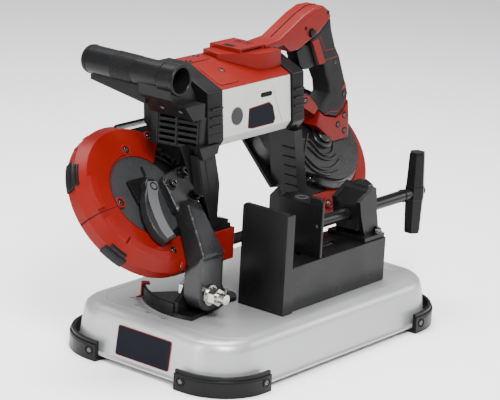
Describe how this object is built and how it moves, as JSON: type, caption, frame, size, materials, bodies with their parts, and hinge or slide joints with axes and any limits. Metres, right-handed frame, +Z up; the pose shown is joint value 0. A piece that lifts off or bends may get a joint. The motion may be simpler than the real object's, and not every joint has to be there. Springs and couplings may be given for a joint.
{
  "type": "horizontal band saw",
  "caption": "Portable cordless band saw on a mitre bench stand: a tilting saw with a D-handle over a vise on a pressed steel base.",
  "frame": {"origin": "centre of the bounding box's footprint, on the bench under the feet", "axes": "+X along the base and the blade towards the vise screw's handle, +Y away from the operator, +Z up"},
  "size_m": [0.499, 0.282, 0.373],
  "materials": {
    "base_paint": "satin silver-grey paint",
    "black_plastic": "fine matt grain",
    "vise_paint": "semi-gloss black powder coat",
    "zinc": "bright zinc plate",
    "red_plastic": "satin red",
    "casting": "dark grey painted die casting",
    "white_plastic": "satin light grey",
    "grip_rubber": "soft matt overmould",
    "aluminium": "machined",
    "tyre": "matt",
    "blade_steel": "ground band",
    "gear_steel": "cut and ground"
  },
  "bodies": {
    "stand": {"base_tray": "base_paint", "foot_right_far": "black_plastic", "foot_left_far": "black_plastic", "foot_left_near": "black_plastic", "foot_right_near": "black_plastic", "vise_channel": "vise_paint", "fixed_jaw": "vise_paint", "nut_bracket": "vise_paint", "swivel_post": "zinc"},
    "vise_slide": {"movable_jaw": "vise_paint", "jaw_bolt": "zinc"},
    "screw": {"vise_screw": "vise_paint", "vise_handle": "vise_paint"},
    "swivel": {"swivel_bracket": "vise_paint", "swivel_pointer": "red_plastic", "pivot_bolt": "zinc"},
    "knob": {"lock_knob": "black_plastic"},
    "saw": {"tilt_arm": "casting", "arm_bolt_1": "zinc", "arm_bolt_2": "zinc", "arm_bolt_3": "zinc", "saw_frame": "casting", "spine_cover": "black_plastic", "front_guard": "red_plastic", "rear_guard": "red_plastic", "front_lower_cover": "red_plastic", "front_guide_post": "black_plastic", "rear_guide_post": "black_plastic", "front_guide_block": "vise_paint", "rear_guide_block": "vise_paint", "front_guide_cover": "red_plastic", "rear_guide_cover": "red_plastic", "saw_blade": "blade_steel", "gear_cover": "casting", "motor_housing": "white_plastic", "motor_top_shell": "red_plastic", "motor_front_bezel": "black_plastic", "motor_rear_bezel": "black_plastic", "vent_cap": "black_plastic", "front_handle": "black_plastic", "front_handle_bracket": "black_plastic", "battery_dock": "red_plastic", "handle_top": "red_plastic", "handle_grip": "grip_rubber", "handle_base": "red_plastic"},
    "carriage": {"tension_carriage": "vise_paint"},
    "lever": {"tension_lever": "casting"},
    "idler": {"idler_wheel": "aluminium", "idler_tyre": "tyre"},
    "drive": {"drive_wheel": "aluminium", "drive_tyre": "tyre", "drive_shaft_gear": "gear_steel"},
    "middle": {"middle_gear": "gear_steel"},
    "cross": {"cross_shaft": "gear_steel"},
    "output": {"output_shaft": "gear_steel"},
    "rotor": {"motor_rotor": "gear_steel"},
    "front_roller": {"front_guide_roller": "gear_steel"},
    "rear_roller": {"rear_guide_roller": "gear_steel"},
    "trigger_body": {"trigger": "black_plastic"},
    "button_body": {"lock_button": "black_plastic"}
  },
  "joints": [
    {"name": "miter_swivel", "type": "hinge", "parent": "stand", "child": "swivel", "pos_m": [-0.07251, -0.004, 0.058], "axis": [0, 0, 1], "range_deg": [0, 45]},
    {"name": "saw_tilt", "type": "hinge", "parent": "swivel", "child": "saw", "pos_m": [-0.13601, -0.0285, 0.0865], "axis": [0, -1, 0], "range_deg": [0, 35]},
    {"name": "lock_knob_turn", "type": "hinge", "parent": "swivel", "child": "knob", "pos_m": [-0.10301, -0.024, 0.08], "axis": [0, 1, 0], "range_deg": [0, 720]},
    {"name": "jaw_slide", "type": "slide", "parent": "stand", "child": "vise_slide", "axis": [1, 0, 0], "range_m": [-0.06, 0.045]},
    {"name": "screw_turn", "type": "hinge", "parent": "vise_slide", "child": "screw", "pos_m": [0.22849, -0.0605, 0.142], "axis": [1, 0, 0], "range_deg": [-7205, 5405]},
    {"name": "tension_lever_turn", "type": "hinge", "parent": "saw", "child": "lever", "pos_m": [-0.15551, 0.03712, 0.19769], "axis": [0, 0.7547, -0.6561], "range_deg": [0, 150.2]},
    {"name": "tension_slide", "type": "slide", "parent": "saw", "child": "carriage", "axis": [1, 0, 0], "range_m": [0, 0.0035]},
    {"name": "rotor_spin", "type": "hinge", "parent": "saw", "child": "rotor", "pos_m": [-0.02251, 0.041, 0.288], "axis": [1, 0, 0], "continuous": true},
    {"name": "output_spin", "type": "hinge", "parent": "saw", "child": "output", "pos_m": [0.05249, 0.041, 0.288], "axis": [1, 0, 0], "continuous": true},
    {"name": "cross_spin", "type": "hinge", "parent": "saw", "child": "cross", "pos_m": [0.08889, 0.06779, 0.26497], "axis": [0, -0.7547, 0.6561], "continuous": true},
    {"name": "middle_spin", "type": "hinge", "parent": "saw", "child": "middle", "pos_m": [0.09719, 0.05018, 0.20966], "axis": [0, -0.7547, 0.6561], "continuous": true},
    {"name": "drive_spin", "type": "hinge", "parent": "saw", "child": "drive", "pos_m": [0.15949, 0.05721, 0.18421], "axis": [0, -0.7547, 0.6561], "continuous": true},
    {"name": "idler_spin", "type": "hinge", "parent": "carriage", "child": "idler", "pos_m": [-0.15551, 0.05721, 0.18421], "axis": [0, -0.7547, 0.6561], "continuous": true},
    {"name": "front_roller_spin", "type": "hinge", "parent": "saw", "child": "front_roller", "pos_m": [-0.07151, 0.004, 0.1338], "axis": [0, 1, 0], "continuous": true},
    {"name": "rear_roller_spin", "type": "hinge", "parent": "saw", "child": "rear_roller", "pos_m": [0.05749, 0.004, 0.1338], "axis": [0, 1, 0], "continuous": true},
    {"name": "trigger_pull", "type": "slide", "parent": "saw", "child": "trigger_body", "axis": [1, 0, 0], "range_m": [0, 0.005], "stiffness_N_per_m": 400, "springref_m": -0.002},
    {"name": "lock_button_press", "type": "slide", "parent": "saw", "child": "button_body", "axis": [0, 1, 0], "range_m": [0, 0.003], "stiffness_N_per_m": 400, "springref_m": -0.002}
  ],
  "couplings": [
    {"joint": "screw_turn", "follows": "jaw_slide", "rad_per_m": 2094.4},
    {"joint": "tension_lever_turn", "follows": "tension_slide", "rad_per_m": 748},
    {"joint": "output_spin", "follows": "rotor_spin", "ratio": 0.33333},
    {"joint": "cross_spin", "follows": "rotor_spin", "ratio": -0.11353},
    {"joint": "middle_spin", "follows": "rotor_spin", "ratio": 0.047801},
    {"joint": "drive_spin", "follows": "rotor_spin", "ratio": -0.013384},
    {"joint": "idler_spin", "follows": "rotor_spin", "ratio": -0.013384}
  ]
}
